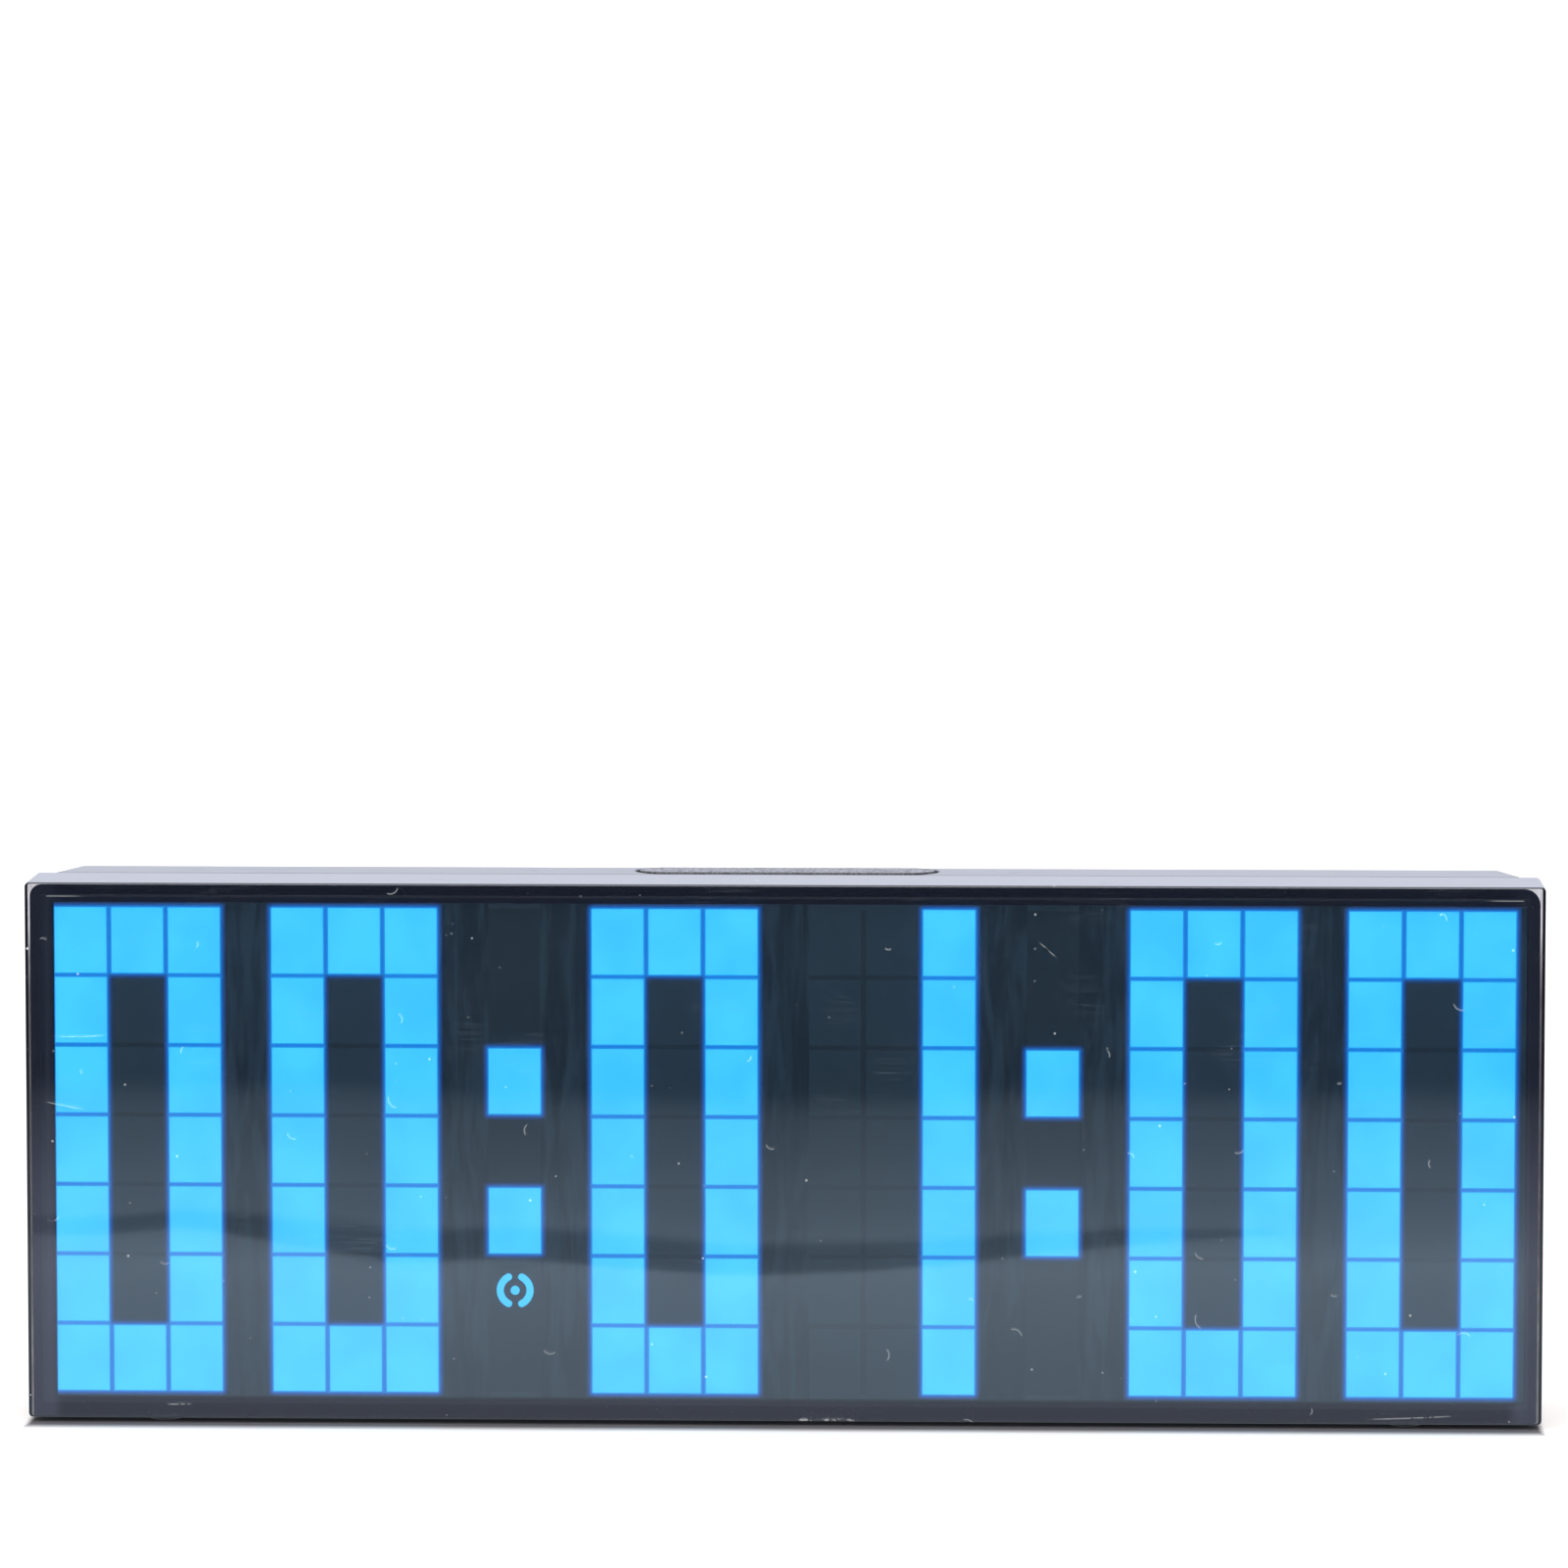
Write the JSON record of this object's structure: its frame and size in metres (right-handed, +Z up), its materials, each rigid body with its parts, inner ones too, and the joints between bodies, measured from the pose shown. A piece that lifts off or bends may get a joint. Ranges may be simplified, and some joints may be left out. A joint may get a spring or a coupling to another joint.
{
  "type": "digital alarm clock",
  "caption": "Long low digital alarm clock: block display behind a smoked cover, snooze bar on top, buttons and battery door on the back, cord with plugs.",
  "frame": {"origin": "middle of the footprint of the case and its feet, on the resting surface", "axes": "+X to the right as seen from the display side, -Y out of the display, +Z up"},
  "size_m": [0.365, 0.121, 0.1315],
  "materials": {
    "smoked_cover": "smoked, clear, polished",
    "slate_film": "satin printed film",
    "grid_plastic": "matt moulded",
    "lit_cell": "milky, lit cyan from behind",
    "circuit_board": "satin solder mask",
    "black_shell": "polished with fine scuffs",
    "textured_bar": "coarse moulded grain",
    "button_plastic": "satin",
    "foot_rubber": "matt",
    "cord_black": "satin sheath",
    "plug_black": "satin moulded",
    "tie_black": "woven strap",
    "chip_black": "matt",
    "bright_metal": "plated",
    "ribbon_grey": "satin",
    "socket_ivory": "satin"
  },
  "bodies": {
    "case": {"alarm_switch": "chip_black", "battery_contact": "bright_metal", "board_screw_1": "bright_metal", "board_screw_2": "bright_metal", "board_screw_3": "bright_metal", "board_screw_4": "bright_metal", "buzzer": "chip_black", "cable_socket_front": "socket_ivory", "cable_socket_rear": "socket_ivory", "case_screw_1": "bright_metal", "case_screw_2": "bright_metal", "case_screw_3": "bright_metal", "case_screw_4": "bright_metal", "clock_crystal": "bright_metal", "coin_cell": "bright_metal", "colon_1_diffuser": "lit_cell", "colon_2_diffuser": "lit_cell", "control_board": "circuit_board", "cord_coil": "cord_black", "cord_lead": "cord_black", "cord_tie": "tie_black", "digit_1_diffuser": "lit_cell", "digit_2_diffuser": "lit_cell", "digit_3_diffuser": "lit_cell", "digit_4_diffuser": "lit_cell", "digit_5_diffuser": "lit_cell", "digit_6_diffuser": "lit_cell", "display_film": "slate_film", "down_switch": "chip_black", "foot_front_left": "foot_rubber", "foot_front_right": "foot_rubber", "foot_rear_left": "foot_rubber", "foot_rear_right": "foot_rubber", "front_cover": "smoked_cover", "led_board": "circuit_board", "led_driver_left": "chip_black", "led_driver_right": "chip_black", "light_grid": "grid_plastic", "microcontroller": "chip_black", "plug_barrel": "bright_metal", "power_capacitor": "chip_black", "power_plug": "plug_black", "power_socket": "chip_black", "rear_cover": "black_shell", "ribbon_cable": "ribbon_grey", "set_switch": "chip_black", "snooze_board": "circuit_board", "snooze_lead": "ribbon_grey", "snooze_switch": "chip_black", "timer_switch": "chip_black", "up_switch": "chip_black", "usb_plug": "plug_black", "usb_shell": "bright_metal"},
    "snooze_bar": {"snooze_bar": "textured_bar"},
    "battery_door": {"battery_door": "black_shell"},
    "set_button": {"set_button": "button_plastic"},
    "up_button": {"up_button": "button_plastic"},
    "down_button": {"down_button": "button_plastic"},
    "alarm_button": {"alarm_button": "button_plastic"},
    "timer_button": {"timer_button": "button_plastic"}
  },
  "joints": [
    {"name": "snooze_press", "type": "slide", "parent": "case", "child": "snooze_bar", "axis": [0, 0, -1], "range_m": [0, 0.001], "stiffness_N_per_m": 1500, "springref_m": -0.0004},
    {"name": "battery_door_turn", "type": "hinge", "parent": "case", "child": "battery_door", "pos_m": [-0.028, 0.0186, 0.038], "axis": [0, 1, 0], "range_deg": [0, 50]},
    {"name": "set_press", "type": "slide", "parent": "case", "child": "set_button", "axis": [0, -1, 0], "range_m": [0, 0.0008], "stiffness_N_per_m": 900, "springref_m": -0.0003},
    {"name": "up_press", "type": "slide", "parent": "case", "child": "up_button", "axis": [0, -1, 0], "range_m": [0, 0.0008], "stiffness_N_per_m": 900, "springref_m": -0.0003},
    {"name": "down_press", "type": "slide", "parent": "case", "child": "down_button", "axis": [0, -1, 0], "range_m": [0, 0.0008], "stiffness_N_per_m": 900, "springref_m": -0.0003},
    {"name": "alarm_press", "type": "slide", "parent": "case", "child": "alarm_button", "axis": [0, -1, 0], "range_m": [0, 0.0008], "stiffness_N_per_m": 900, "springref_m": -0.0003},
    {"name": "timer_press", "type": "slide", "parent": "case", "child": "timer_button", "axis": [0, -1, 0], "range_m": [0, 0.0008], "stiffness_N_per_m": 900, "springref_m": -0.0003}
  ]
}
